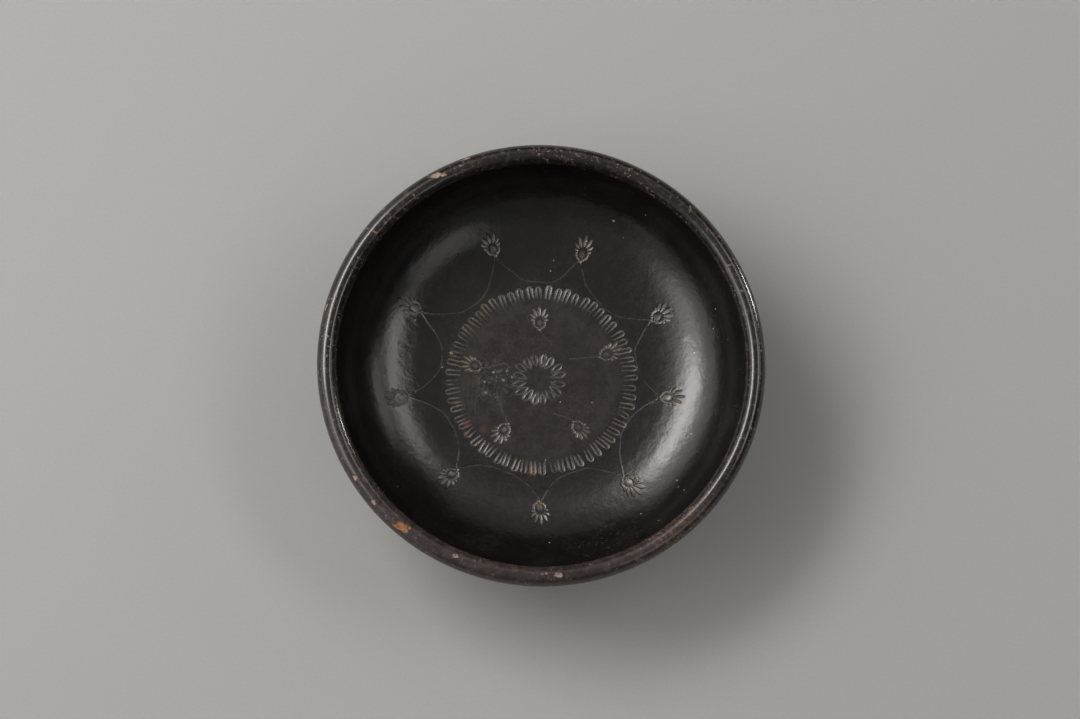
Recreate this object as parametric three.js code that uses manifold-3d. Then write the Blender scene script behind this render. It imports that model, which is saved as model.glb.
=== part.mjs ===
// A shallow black-glazed bowl on a ring foot, thrown and turned as one piece of fired clay.
// Its floor carries stamped palmettes and rings of tongues, and its rounded lip is chipped.
// Millimetres, +Z up, origin under the middle of the foot, which is where the bowl rests.
import * as THREE from "three";
import { mergeVertices } from "three/addons/utils/BufferGeometryUtils.js";
import Module from "manifold-3d";

const wasm = await Module();
wasm.setup();

const { degToRad, lerp } = THREE.MathUtils;

// The lip is a round roll that stands out past the wall
const RIM_RADIUS = 90;
const LIP_ROLL = 4.15; // radius of its round section
const LIP_HEIGHT = 48.85; // height of the middle of that section
const LIP_RADIUS = RIM_RADIUS - LIP_ROLL;
const LIP_INSIDE = degToRad(195); // where the roll meets the inner wall, round its section
const LIP_OUTSIDE = degToRad(-65); // where it tucks under to the outer wall

// The floor is level in the middle and curves up into the wall
const FLOOR_HEIGHT = 14;
const FLAT_RADIUS = 38;
const WALL_CURVE = 2.2; // exponent of the superellipse that the inside follows
const WALL_TOP_RADIUS = LIP_RADIUS + LIP_ROLL * Math.cos(LIP_INSIDE);
const WALL_TOP_HEIGHT = LIP_HEIGHT + LIP_ROLL * Math.sin(LIP_INSIDE);
const BOTTOM_THICKNESS = 5.8;
const WALL_THICKNESS = 4.9;
const WALL_BEGINS = 0.12; // how far up the curve the outside leaves the foot, in radians of turn
const WALL_ENDS = 1.43; // and how far up it stops, below the lip

// The turned foot, with a nick where it meets the wall and a low boss under the floor
const FOOT_OUTER = 43.5;
const FOOT_INNER = 35.5;
const FOOT_EDGE = 1.1; // the rounding at each side of the face that it rests on
const FOOT_BELLY = 0.35; // how far the outside of the foot swells
const FOOT_NICK = 1.5;
const FOOT_COVE = 3.5; // the hollow curve where the foot meets the underside
const UNDERSIDE = FLOOR_HEIGHT - BOTTOM_THICKNESS;
const FOOT_SHOULDER = UNDERSIDE * 0.8;
const BOSS_RADIUS = 7;
const BOSS_DROP = 0.8;
const BOSS_SHOULDER = 0.65;

const ROUND_SEGMENTS = 64;
const WALL_STEPS = 8;
const LIP_STEPS = 8;

// The stamped decoration
const STAMP_DEPTH = 0.45;
const CUT_ABOVE = 0.6; // how far a cutter stands clear of the surface
const TONGUE_RING = { count: 60, radius: 36.2, length: 5.6, width: 2.5, centre: 1 };
const ROSETTE = { count: 14, radius: 8.4, length: 5.6, width: 2.5, centre: 0 };
const HEART_RADIUS = 1.25;
const HEART_SETBACK = 1.3; // the heart lies this far behind the middle of its palmette
const LEAF_COUNT = 9;
const LEAF_SPREAD = degToRad(300);
const LEAF_START = 1.9;
const LEAF_TIP = 6.2; // reach of the leaf that points outwards
const LEAF_BACK = 3.1; // reach of the leaves beside the stem
const LEAF_WIDTH = 1.2;
const LEAF_FALL = 1.5; // how sharply the leaves shorten away from the tip

// Each palmette was stamped by hand, so its distance and direction from the middle both wander
const OUTER_PALMETTES = [
  [54.5, 3], [56.5, 39], [56.7, 82], [58.4, 120], [59.9, 161],
  [58.4, 199], [54.6, 239], [55.1, 281], [57.9, 321],
];
const INNER_PALMETTES = [[29.3, 34], [25.4, 100], [28, 178], [26.7, 247], [26.4, 320]];

// Chips in the lip: direction from +X and angle round the lip's section, in degrees, and size
const LIP_CHIPS = [
  { direction: 241, around: 72, size: 3.9 },
  { direction: 130, around: 70, size: 2.4 },
  { direction: 121, around: 46, size: 2.0 },
  { direction: 284, around: 78, size: 1.9 },
  { direction: 176, around: 32, size: 1.8 },
  { direction: 236, around: 25, size: 2.2 },
];
const CHIP_BITE = 0.3; // share of a chip's size that goes into the lip
const CHIP_STRETCH = 1.25; // a chip is longer along the lip than across it

// Height of the inside at a distance from the axis.
function innerHeight(radius) {
  const across = (radius - FLAT_RADIUS) / (WALL_TOP_RADIUS - FLAT_RADIUS);
  const reach = Math.min(Math.max(across, 0), 1);
  const depth = Math.pow(1 - Math.pow(reach, WALL_CURVE), 1 / WALL_CURVE);
  return lerp(WALL_TOP_HEIGHT, FLOOR_HEIGHT, depth);
}

// Slope of the inside there, as rise over run.
function innerSlope(radius) {
  const step = 0.01;
  return (innerHeight(radius + step) - innerHeight(radius - step)) / (2 * step);
}

// Distance from the axis at a turn along the inner curve, from 0 at the floor to a right angle at the lip.
function curveRadius(turn) {
  return lerp(FLAT_RADIUS, WALL_TOP_RADIUS, Math.sin(turn));
}

// The inside, from the lip down to the level floor.
function innerWall() {
  const points = [];
  for (let i = 1; i <= WALL_STEPS; i++) {
    const radius = curveRadius((1 - i / WALL_STEPS) * (Math.PI / 2));
    points.push(new THREE.Vector2(radius, innerHeight(radius)));
  }
  return points;
}

// The outside lies a wall's thickness from the inside, and the wall thins towards the lip.
function outerWall() {
  const points = [];
  for (let i = 0; i <= WALL_STEPS; i++) {
    const share = i / WALL_STEPS;
    const radius = curveRadius(lerp(WALL_BEGINS, WALL_ENDS, share));
    const slope = Math.atan(innerSlope(radius));
    const thickness = lerp(BOTTOM_THICKNESS, WALL_THICKNESS, share);
    points.push(new THREE.Vector2(
      radius + thickness * Math.sin(slope),
      innerHeight(radius) - thickness * Math.cos(slope),
    ));
  }
  return points;
}

function lip() {
  const points = [];
  for (let i = 0; i <= LIP_STEPS; i++) {
    const turn = lerp(LIP_OUTSIDE, LIP_INSIDE, i / LIP_STEPS);
    points.push(new THREE.Vector2(
      LIP_RADIUS + LIP_ROLL * Math.cos(turn),
      LIP_HEIGHT + LIP_ROLL * Math.sin(turn),
    ));
  }
  return points;
}

// The underside and the foot, from the axis out to the nick below the wall.
function foot() {
  return [
    new THREE.Vector2(0, UNDERSIDE - BOSS_DROP),
    new THREE.Vector2(BOSS_RADIUS / 2, UNDERSIDE - BOSS_SHOULDER),
    new THREE.Vector2(BOSS_RADIUS, UNDERSIDE),
    new THREE.Vector2(FOOT_INNER - FOOT_COVE, UNDERSIDE),
    new THREE.Vector2(FOOT_INNER - FOOT_COVE / 4, UNDERSIDE - FOOT_COVE / 2),
    new THREE.Vector2(FOOT_INNER, FOOT_EDGE),
    new THREE.Vector2(FOOT_INNER + FOOT_EDGE, 0),
    new THREE.Vector2(FOOT_OUTER - FOOT_EDGE, 0),
    new THREE.Vector2(FOOT_OUTER, FOOT_EDGE),
    new THREE.Vector2(FOOT_OUTER + FOOT_BELLY, UNDERSIDE / 2),
    new THREE.Vector2(FOOT_OUTER, FOOT_SHOULDER),
    new THREE.Vector2(FOOT_OUTER - FOOT_NICK, UNDERSIDE),
  ];
}

// The half section, from the axis under the bowl, round the foot, up over the lip and back to the axis.
function section() {
  return [...foot(), ...outerWall(), ...lip(), ...innerWall(), new THREE.Vector2(0, FLOOR_HEIGHT)];
}

// A closed three.js geometry as a solid that can be joined and cut.
function solidOf(geometry) {
  const bare = geometry.index ? geometry.toNonIndexed() : geometry.clone();
  bare.deleteAttribute("normal");
  bare.deleteAttribute("uv");
  const merged = mergeVertices(bare, 1e-4);
  return new wasm.Manifold(new wasm.Mesh({
    numProp: 3,
    vertProperties: merged.attributes.position.array,
    triVerts: new Uint32Array(merged.index.array),
  }));
}

function geometryOf(solid) {
  const mesh = solid.getMesh();
  const geometry = new THREE.BufferGeometry();
  geometry.setAttribute("position", new THREE.BufferAttribute(mesh.vertProperties, mesh.numProp));
  geometry.setIndex(new THREE.BufferAttribute(mesh.triVerts, 1));
  geometry.computeVertexNormals();
  return geometry;
}

// Where a stamp stands: on the inside at (x, y), with its length pointing along heading.
function placeInside(x, y, heading) {
  const radius = Math.hypot(x, y);
  const slope = innerSlope(radius);
  const normal = new THREE.Vector3(-slope * x / radius, -slope * y / radius, 1).normalize();
  const ahead = new THREE.Vector3(Math.cos(heading), Math.sin(heading), 0);
  const side = new THREE.Vector3().crossVectors(normal, ahead).normalize();
  ahead.crossVectors(side, normal);
  const place = new THREE.Matrix4().makeBasis(ahead, side, normal);
  return place.setPosition(x, y, innerHeight(radius));
}

// The clay that one mark of a stamp pushes down, given as a flat outline.
function mark(outline, place) {
  const geometry = new THREE.ExtrudeGeometry(outline, {
    depth: STAMP_DEPTH + CUT_ABOVE,
    bevelEnabled: false,
    curveSegments: 2,
  });
  geometry.translate(0, 0, -STAMP_DEPTH);
  return solidOf(geometry.applyMatrix4(place));
}

// A leaf of a palmette: pointed at both ends and widest past its middle.
function leafOutline(length) {
  const outline = new THREE.Shape();
  const widest = length * 0.6;
  outline.moveTo(0, 0);
  outline.quadraticCurveTo(widest, -LEAF_WIDTH, length, 0);
  outline.quadraticCurveTo(widest, LEAF_WIDTH, 0, 0);
  return outline;
}

// A tongue: round at its outer end, and straight and a little narrower at its inner end.
function tongueOutline(length, width) {
  const outline = new THREE.Shape();
  const shoulder = length / 4;
  const crown = length * 0.7; // the curve's control point, past the end that it rounds
  const innerHalf = width * 0.36;
  outline.moveTo(-length / 2, -innerHalf);
  outline.lineTo(shoulder, -width / 2);
  outline.quadraticCurveTo(crown, 0, shoulder, width / 2);
  outline.lineTo(-length / 2, innerHalf);
  outline.closePath();
  return outline;
}

// A ring of tongues that point outwards, round a centre that lies a little off the axis.
function tongueRing({ count, radius, length, width, centre }) {
  const marks = [];
  for (let i = 0; i < count; i++) {
    const turn = (i / count) * Math.PI * 2;
    const place = placeInside(centre + radius * Math.cos(turn), radius * Math.sin(turn), turn);
    marks.push(mark(tongueOutline(length, width), place));
  }
  return marks;
}

// A palmette that points outwards: a round heart with leaves fanned about it, all round but at the stem.
function palmette([distance, direction]) {
  const heading = degToRad(direction);
  const heartX = (distance - HEART_SETBACK) * Math.cos(heading);
  const heartY = (distance - HEART_SETBACK) * Math.sin(heading);
  const heart = new THREE.Shape(new THREE.Path().absarc(0, 0, HEART_RADIUS, 0, Math.PI * 2).getPoints(3));
  const marks = [mark(heart, placeInside(heartX, heartY, heading))];
  for (let i = 0; i < LEAF_COUNT; i++) {
    const turn = (i / (LEAF_COUNT - 1) - 0.5) * LEAF_SPREAD;
    const forward = Math.pow(Math.max(Math.cos(turn), 0), LEAF_FALL);
    const reach = lerp(LEAF_BACK, LEAF_TIP, forward);
    const leafX = heartX + LEAF_START * Math.cos(heading + turn);
    const leafY = heartY + LEAF_START * Math.sin(heading + turn);
    marks.push(mark(leafOutline(reach - LEAF_START), placeInside(leafX, leafY, heading + turn)));
  }
  return marks;
}

// The clay that is lost at one chip: a rough lump that bites into the lip.
function chip({ direction, around, size }) {
  const turn = degToRad(direction);
  const rise = degToRad(around);
  const out = LIP_ROLL + size * (1 - CHIP_BITE);
  const radius = LIP_RADIUS + out * Math.cos(rise);
  const geometry = new THREE.IcosahedronGeometry(size, 1);
  geometry.scale(1, CHIP_STRETCH, 1);
  geometry.rotateZ(turn);
  geometry.translate(radius * Math.cos(turn), radius * Math.sin(turn), LIP_HEIGHT + out * Math.sin(rise));
  return solidOf(geometry);
}

function bowlGeometry() {
  const thrown = new THREE.LatheGeometry(section(), ROUND_SEGMENTS);
  thrown.rotateX(Math.PI / 2);
  const cuts = wasm.Manifold.union([
    ...tongueRing(TONGUE_RING),
    ...tongueRing(ROSETTE),
    ...OUTER_PALMETTES.flatMap(palmette),
    ...INNER_PALMETTES.flatMap(palmette),
    ...LIP_CHIPS.map(chip),
  ]);
  return geometryOf(solidOf(thrown).subtract(cuts));
}

const blackGloss = new THREE.MeshStandardMaterial({
  color: new THREE.Color(0x2b2523),
  roughness: 0.3,
  metalness: 0,
});

const bowl = new THREE.Mesh(bowlGeometry(), blackGloss);
bowl.name = "bowl";

const object = new THREE.Group();
object.add(bowl);

export default object;
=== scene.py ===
# %% [markdown]
# # A black-gloss bowl, thrown, stamped and worn
#
# The real bowl is one piece of clay. A potter threw it on a wheel, turned its foot, pressed small stamps
# into the floor, joined them with lines drawn by a point, and dipped it in a fine slip that fired to a
# black gloss. Much later the lip was knocked and the gloss rubbed through.
#
# The script goes the same way: a flat blank, the wheel, the stamps, the knocks, and then the finish.
# Lengths are written in millimetres and turned into Blender's metres where a mesh is made.

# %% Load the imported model
import math

import bpy
import numpy as np
from mathutils import Matrix, Vector
from mathutils.geometry import delaunay_2d_cdt


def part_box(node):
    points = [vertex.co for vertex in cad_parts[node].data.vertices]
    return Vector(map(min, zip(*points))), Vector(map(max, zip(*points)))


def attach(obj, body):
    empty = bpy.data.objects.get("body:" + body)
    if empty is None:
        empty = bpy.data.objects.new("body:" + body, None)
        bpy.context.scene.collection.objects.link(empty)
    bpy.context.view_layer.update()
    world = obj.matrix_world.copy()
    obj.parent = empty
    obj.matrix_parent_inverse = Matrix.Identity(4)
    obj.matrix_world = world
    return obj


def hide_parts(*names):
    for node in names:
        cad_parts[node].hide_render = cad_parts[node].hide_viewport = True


MM = 0.001

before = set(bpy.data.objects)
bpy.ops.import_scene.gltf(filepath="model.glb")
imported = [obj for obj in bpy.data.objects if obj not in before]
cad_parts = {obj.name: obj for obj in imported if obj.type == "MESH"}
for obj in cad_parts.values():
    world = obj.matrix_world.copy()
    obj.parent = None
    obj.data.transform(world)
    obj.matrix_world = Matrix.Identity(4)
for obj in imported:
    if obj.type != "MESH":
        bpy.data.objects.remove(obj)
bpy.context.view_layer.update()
near_lip_sheen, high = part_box("bowl")
RIM_RADIUS = (high.x - near_lip_sheen.x) / 2 / MM
RIM_TOP = high.z / MM
print(f"the bowl is {2 * RIM_RADIUS:.1f} mm across and {RIM_TOP:.1f} mm high")

# %% [markdown]
# ## A few lines for node trees
#
# Node trees are quicker to read as sums than as boxes. A `Value` is one output of a node and takes
# Python's operators, so `1 - mask` adds the Math node that it needs. Every other node comes from
# `Tree.node`, which takes the node's type, its settings, and the values or links of its sockets.

# %% Sockets that take Python's operators
class Value:
    """One output of a node."""

    def __init__(self, tree, socket):
        self.tree = tree
        self.socket = socket
        self.kind = socket.type

    def output(self, name):
        """Another output of the same node."""
        return Value(self.tree, find(self.socket.node.outputs, name))

    def __add__(self, other):
        return self.tree.maths("ADD", self, other)

    def __sub__(self, other):
        return self.tree.maths("SUBTRACT", self, other)

    def __rsub__(self, other):
        return self.tree.maths("SUBTRACT", other, self)

    def __mul__(self, other):
        return self.tree.maths("MULTIPLY", self, other)

    def __truediv__(self, other):
        return self.tree.maths("DIVIDE", self, other)

    def __pow__(self, other):
        return self.tree.maths("POWER", self, other)

    def __gt__(self, other):
        return self.tree.maths("GREATER_THAN", self, other)

    __radd__ = __add__
    __rmul__ = __mul__


def find(sockets, key):
    """A node's socket by its place, its identifier or its name."""
    if isinstance(key, int):
        return sockets[key]
    by_identifier = [s for s in sockets if s.identifier == key]
    by_name = [s for s in sockets if s.name == key and s.enabled]
    return (by_identifier + by_name)[0]


# %% Trees that add and link nodes
class Tree:
    """Adds nodes to one node tree."""

    def __init__(self, tree):
        self.tree = tree

    def node(self, kind, settings=None, inputs=None, output=0):
        """One node: its settings first, and then the values or links of its sockets."""
        made = self.tree.nodes.new(kind)
        for name, value in (settings or {}).items():
            setattr(made, name, value)
        for name, value in (inputs or {}).items():
            self.feed(find(made.inputs, name), value)
        return Value(self, find(made.outputs, output)) if made.outputs else None

    def feed(self, socket, value):
        """Links a value to a socket, or several to one, or sets its number."""
        if isinstance(value, Value):
            self.tree.links.new(value.socket, socket)
        elif isinstance(value, list):
            for one in value:
                self.tree.links.new(one.socket, socket)
        elif socket.type == "RGBA":
            socket.default_value = (*value, 1)
        else:
            socket.default_value = value

    def maths(self, operation, *values):
        """A Math node, or a Vector Math node where a value is a vector."""
        kinds = ["VECTOR" if isinstance(v, tuple) else getattr(v, "kind", "") for v in values]
        vector = "VECTOR" in kinds or "RGBA" in kinds
        kind = "ShaderNodeVectorMath" if vector else "ShaderNodeMath"
        spread = [(v, v, v) if vector and isinstance(v, (int, float)) else v for v in values]
        return self.node(kind, {"operation": operation}, dict(enumerate(spread)))

    def split(self, vector):
        """The three parts of a vector."""
        parts = self.node("ShaderNodeSeparateXYZ", inputs={0: vector})
        return parts, parts.output(1), parts.output(2)

    def join(self, x, y, z):
        """A vector from its three parts."""
        return self.node("ShaderNodeCombineXYZ", inputs={0: x, 1: y, 2: z})

    def step(self, value, start, end):
        """0 below start, 1 above end, and smooth between them."""
        inputs = {"Value": value, "From Min": start, "From Max": end}
        return self.node("ShaderNodeMapRange", {"interpolation_type": "SMOOTHSTEP"}, inputs)


# %% Geometry groups with named inputs
SOCKETS = {
    "geometry": "NodeSocketGeometry",
    "object": "NodeSocketObject",
    "length": "NodeSocketFloat",
    "count": "NodeSocketInt",
    "name": "NodeSocketString",
    "material": "NodeSocketMaterial",
}


def new_group(name, **inputs):
    """An empty geometry group. Returns the tree to add to and its named inputs as values."""
    group = bpy.data.node_groups.new(name, "GeometryNodeTree")
    for key, kind in inputs.items():
        group.interface.new_socket(key, in_out="INPUT", socket_type=SOCKETS[kind])
    group.interface.new_socket("Geometry", in_out="OUTPUT", socket_type=SOCKETS["geometry"])
    tree = Tree(group)
    entry = tree.tree.nodes.new("NodeGroupInput")
    return tree, {s.name: Value(tree, s) for s in entry.outputs if s.name}


def close_group(tree, geometry):
    """Sends a group's geometry out and returns the group."""
    tree.node("NodeGroupOutput", inputs={"Geometry": geometry})
    return tree.tree


def call(tree, group, **inputs):
    """Uses a finished group inside another tree."""
    return tree.node("GeometryNodeGroup", {"node_tree": group}, inputs)


# %% [markdown]
# ## The section
#
# A thrown bowl is its half section turned about an axis. The inside is level in the middle and then
# follows a superellipse up to the lip, a roll with a slightly raised crest. The outside lies a wall's
# thickness away. The foot was cut with a tool while the clay was leather-hard, so its corners are crisp
# and only a little softened.

# %% Sizes of the section
FLOOR_HEIGHT = 14
FLAT_RADIUS = 38
WALL_CURVE = 2.2
WALL_TOP_RADIUS = RIM_RADIUS - 8.16
WALL_TOP_HEIGHT = RIM_TOP - 5.22
LIP_HALF_WIDTH = (RIM_RADIUS - WALL_TOP_RADIUS) / 2
LIP_RADIUS = RIM_RADIUS - LIP_HALF_WIDTH
LIP_RISE = RIM_TOP - WALL_TOP_HEIGHT  # from the lip's widest place up to its crest
LIP_FALL = 3.0  # and down to its underside
LIP_OUTSIDE = math.radians(-65)
BOTTOM_THICKNESS = 5.8
WALL_THICKNESS = 4.9
WALL_BEGINS = 0.12
WALL_ENDS = 1.43
FOOT_OUTER = 43.5
FOOT_INNER = 35.5
FOOT_EDGE = 1.1
FOOT_BELLY = 0.35
FOOT_NICK = 1.5
FOOT_COVE = 3.5
UNDERSIDE = FLOOR_HEIGHT - BOTTOM_THICKNESS
BOSS_RADIUS = 7
BOSS_DROP = 0.8
BOSS_SHOULDER = 0.65  # how far the boss has dropped halfway in
CURVE_STEPS = 160  # points along each curved stretch of the section


# %% The inside, the lip and the outside
def inner_height(radius):
    """Height of the inside at a distance from the axis."""
    reach = np.clip((radius - FLAT_RADIUS) / (WALL_TOP_RADIUS - FLAT_RADIUS), 0, 1)
    depth = (1 - reach**WALL_CURVE) ** (1 / WALL_CURVE)
    return WALL_TOP_HEIGHT + (FLOOR_HEIGHT - WALL_TOP_HEIGHT) * depth


def inner_curve(turn):
    """Points of the inside at turns from 0, where it leaves the floor, to a right angle at the lip."""
    radius = FLAT_RADIUS + (WALL_TOP_RADIUS - FLAT_RADIUS) * np.sin(turn)
    return np.stack([radius, inner_height(radius)], 1)


def lip_curve(turn):
    """Points of the lip at turns from a half turn, at its inside, through a right angle, at its crest."""
    rise = np.where(np.sin(turn) > 0, LIP_RISE, LIP_FALL) * np.sin(turn)
    return np.stack([LIP_RADIUS + LIP_HALF_WIDTH * np.cos(turn), WALL_TOP_HEIGHT + rise], -1)


def outer_curve():
    """The outside from below the lip down to the foot, a wall's thickness from the inside."""
    share = np.linspace(1, 0, CURVE_STEPS)
    turn = WALL_BEGINS + (WALL_ENDS - WALL_BEGINS) * share
    points = inner_curve(turn)
    along = inner_curve(turn + 1e-3) - inner_curve(turn - 1e-3)
    along /= np.linalg.norm(along, axis=1, keepdims=True)
    outward = np.stack([along[:, 1], -along[:, 0]], 1)
    thickness = BOTTOM_THICKNESS + (WALL_THICKNESS - BOTTOM_THICKNESS) * share
    return points + outward * thickness[:, None]


# %% The foot, and the whole section
def foot_corners():
    """The foot and the underside, from the nick below the wall to the axis."""
    return np.array([
        (FOOT_OUTER - FOOT_NICK, UNDERSIDE),
        (FOOT_OUTER, UNDERSIDE * 0.8),
        (FOOT_OUTER + FOOT_BELLY, UNDERSIDE / 2),
        (FOOT_OUTER, FOOT_EDGE),
        (FOOT_OUTER - FOOT_EDGE, 0),
        (FOOT_INNER + FOOT_EDGE, 0),
        (FOOT_INNER, FOOT_EDGE),
        (FOOT_INNER - FOOT_COVE / 4, UNDERSIDE - FOOT_COVE / 2),
        (FOOT_INNER - FOOT_COVE, UNDERSIDE),
        (BOSS_RADIUS, UNDERSIDE),
        (BOSS_RADIUS / 2, UNDERSIDE - BOSS_SHOULDER),
        (0, UNDERSIDE - BOSS_DROP),
    ])


def soften(points, rounds):
    """Cuts every corner at a quarter and three quarters of its sides, which rounds it more each time."""
    for _ in range(rounds):
        a, b = points[:-1], points[1:]
        cut = np.stack([a * 0.75 + b * 0.25, a * 0.25 + b * 0.75], 1).reshape(-1, 2)
        points = np.concatenate([points[:1], cut, points[-1:]])
    return points


def half_section():
    """The section from the middle of the floor, over the lip and round the foot to the axis below."""
    wall = inner_curve(np.linspace(0, math.pi / 2, CURVE_STEPS))
    lower = soften(np.concatenate([outer_curve()[-3:], foot_corners()]), 3)
    lip = lip_curve(np.linspace(math.pi, LIP_OUTSIDE, CURVE_STEPS))
    return np.concatenate([[(0, FLOOR_HEIGHT)], wall, lip[1:], outer_curve()[:-3], lower])


def along_at(radius, height):
    """Distance along the section of its point nearest to a radius and a height."""
    return section_along[np.argmin(np.hypot(section[:, 0] - radius, section[:, 1] - height))]


section = half_section()
steps = np.linalg.norm(np.diff(section, axis=0), axis=1)
section_along = np.concatenate([[0], np.cumsum(steps)])
SECTION_LENGTH = section_along[-1]
LIP_BEGINS = section_along[CURVE_STEPS]
LIP_ENDS = section_along[2 * CURVE_STEPS - 1]
print(f"the section is {SECTION_LENGTH:.0f} mm long")
print(f"the lip is {LIP_BEGINS:.1f} to {LIP_ENDS:.1f} mm along it")


# %% The section as a curve that Geometry Nodes can sample
def poly_curve(name, paths):
    """A curve object with one straight-sided spline for each path, whose points are in millimetres."""
    curve = bpy.data.curves.new(name, "CURVE")
    curve.dimensions = "3D"
    for path in paths:
        spline = curve.splines.new("POLY")
        spline.points.add(len(path) - 1)
        spline.points.foreach_set("co", np.column_stack([np.array(path) * MM, np.ones(len(path))]).ravel())
    made = bpy.data.objects.new(name, curve)
    bpy.context.scene.collection.objects.link(made)
    return made


section_curve = poly_curve("section", [[(r, 0, z) for r, z in section]])

# %% [markdown]
# ## Where the stamps and the chips go
#
# The potter set every stamp by eye, so no two palmettes lie at quite the same distance or spacing. Their
# places were read from the bowl as a distance from the middle and a direction, and each was rounded. The
# drawn lines follow a rule: each one leaves a palmette, dips to just outside the ring of tongues, and
# rises to the next.

# %% Places of the decoration
TONGUE_RING = {"count": 60, "radius": 36.2, "shift": 1.0}  # shift is how far off the middle it was set
ROSETTE = {"count": 16, "radius": 8.1}
TONGUE_LENGTH = 5.6
TONGUE_WIDTH = 1.85  # between the middles of its two strokes
PETAL_LENGTH = 6.2
PETAL_WIDTH = 2.2
OUTER_PALMETTES = [
    (54.5, 3), (56.5, 39), (56.7, 82), (58.4, 120), (59.9, 161),
    (58.4, 199), (54.6, 239), (55.1, 281), (57.9, 321),
]
INNER_PALMETTES = [(31.4, 32), (25.4, 100), (28.2, 178), (26.9, 246), (26.8, 320)]
INNER_BENDS = (14, -18, -13, -40, -16)  # degrees that each inner line turns as it nears the rosette
INNER_LINE_END = 13.5  # how near to the middle a straight inner line comes
BEND_COST = 0.1  # millimetres that a line ends sooner for each degree of its bend
BEND_LATE = 1.5  # the higher, the later a line begins to bend
PALMETTE_BASE = 4.6  # from a palmette's middle back to where its line begins
LINE_DIP = 40.4
LINE_SLACK = 2.8  # the higher, the more a line follows the ring of tongues before it rises
LINE_STEPS = 40


def polar(distance, direction):
    """A point in plan from its distance and its direction in degrees."""
    turn = np.radians(direction)
    return np.stack([distance * np.cos(turn), distance * np.sin(turn)], -1)


def outer_lines():
    """Lines that hang between neighbouring palmettes like a slack thread, with the middle as their down."""
    lines = []
    for (here, turn), (there, next_turn) in zip(OUTER_PALMETTES, OUTER_PALMETTES[1:] + OUTER_PALMETTES[:1]):
        share = np.linspace(0, 1, LINE_STEPS)
        direction = turn + share * ((next_turn - turn) % 360)
        ends = (here + (there - here) * share) - PALMETTE_BASE
        hang = np.abs(2 * share - 1) ** LINE_SLACK
        lines.append(polar(LINE_DIP + (ends - LINE_DIP) * hang, direction))
    return lines


def inner_lines():
    """Short lines from the inner palmettes that bend in towards the rosette."""
    lines = []
    for (distance, direction), bend in zip(INNER_PALMETTES, INNER_BENDS):
        share = np.linspace(0, 1, LINE_STEPS)
        begin = distance - PALMETTE_BASE
        end = INNER_LINE_END + abs(bend) * BEND_COST
        lines.append(polar(begin + (end - begin) * share, direction + bend * share**BEND_LATE))
    return lines


drawn_lines = outer_lines() + inner_lines()
print(f"{len(OUTER_PALMETTES) + len(INNER_PALMETTES)} palmettes and {len(drawn_lines)} drawn lines")

# %% Places of the chips
LIP_CHIPS = [
    {"direction": 241, "around": 70, "size": 2.5},
    {"direction": 239.5, "around": 52, "size": 1.7},
    {"direction": 242, "around": 94, "size": 1.3},
    {"direction": 130, "around": 68, "size": 2.3},
    {"direction": 128, "around": 88, "size": 1.3},
    {"direction": 121, "around": 46, "size": 1.8},
    {"direction": 285, "around": 84, "size": 1.5},
    {"direction": 281, "around": 96, "size": 1.1},
    {"direction": 176, "around": 32, "size": 1.5},
    {"direction": 231, "around": 58, "size": 1.3},
    {"direction": 223, "around": 52, "size": 1.4},
    {"direction": 257, "around": 92, "size": 1.1},
]
CHIP_BITE = 0.3  # share of a chip's lump that stands in the clay


def chip_along(chip):
    """How far along the section a chip lies."""
    return along_at(*lip_curve(math.radians(chip["around"])))


# %% [markdown]
# ## The blank
#
# The wheel needs something to shape. The blank is a flat disc whose distance from the middle is the
# distance along the section. Its points are close together only where there is something to show, under
# the stamps, the drawn lines and the chips, and wider apart elsewhere, which keeps the whole bowl under
# 200,000 triangles. A Delaunay triangulation joins the points with the best-shaped triangles they allow.
# The plain outside is simple rings.

# %% How far each point of the blank lies from a mark
FINE_STEP = 0.34
MIDDLE_STEP = 0.62
COARSE_STEP = 1.35
TOUCH = 0.9  # how far the fine points reach past a mark
RING_ROOM = 0.5  # how much further than half its length a tongue or a petal may reach
OVAL_LENGTH = 5.6  # half a palmette's length, with some room
OVAL_WIDTH = 4.1
CHIP_REACH = 1.1  # of the fine points round a chip, as a share of its size
FINE_LIMIT = 66.0


def distance_to_path(points, path):
    """Shortest distance from each point to a line of straight pieces."""
    nearest = np.full(len(points), np.inf)
    for a, b in zip(path[:-1], path[1:]):
        side = b - a
        share = np.clip(((points - a) @ side) / (side @ side), 0, 1)
        nearest = np.minimum(nearest, np.linalg.norm(points - a - share[:, None] * side, axis=1))
    return nearest


def distance_to_oval(points, distance, direction):
    """Rough distance from each point to a palmette's oval outline."""
    ahead = polar(1, direction)
    off = points - polar(distance, direction)
    along = off @ ahead
    across = off @ np.array([-ahead[1], ahead[0]])
    return (np.hypot(along / OVAL_LENGTH, across / OVAL_WIDTH) - 1) * OVAL_WIDTH


def distance_to_marks(points):
    """Distance from each point of the blank to the nearest mark."""
    from_middle = np.linalg.norm(points, axis=1)
    from_ring = np.linalg.norm(points - [TONGUE_RING["shift"], 0], axis=1)
    half = TONGUE_LENGTH / 2 + RING_ROOM
    near = [
        np.abs(from_ring - TONGUE_RING["radius"]) - half,
        np.abs(from_middle - ROSETTE["radius"]) - half,
    ]
    near += [distance_to_oval(points, *place) for place in OUTER_PALMETTES + INNER_PALMETTES]
    near += [distance_to_path(points, line[::4]) for line in drawn_lines]
    for chip in LIP_CHIPS:
        from_chip = np.linalg.norm(points - polar(chip_along(chip), chip["direction"]), axis=1)
        near.append(from_chip - chip["size"] * CHIP_REACH)
    return np.min(near, axis=0)


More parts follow.
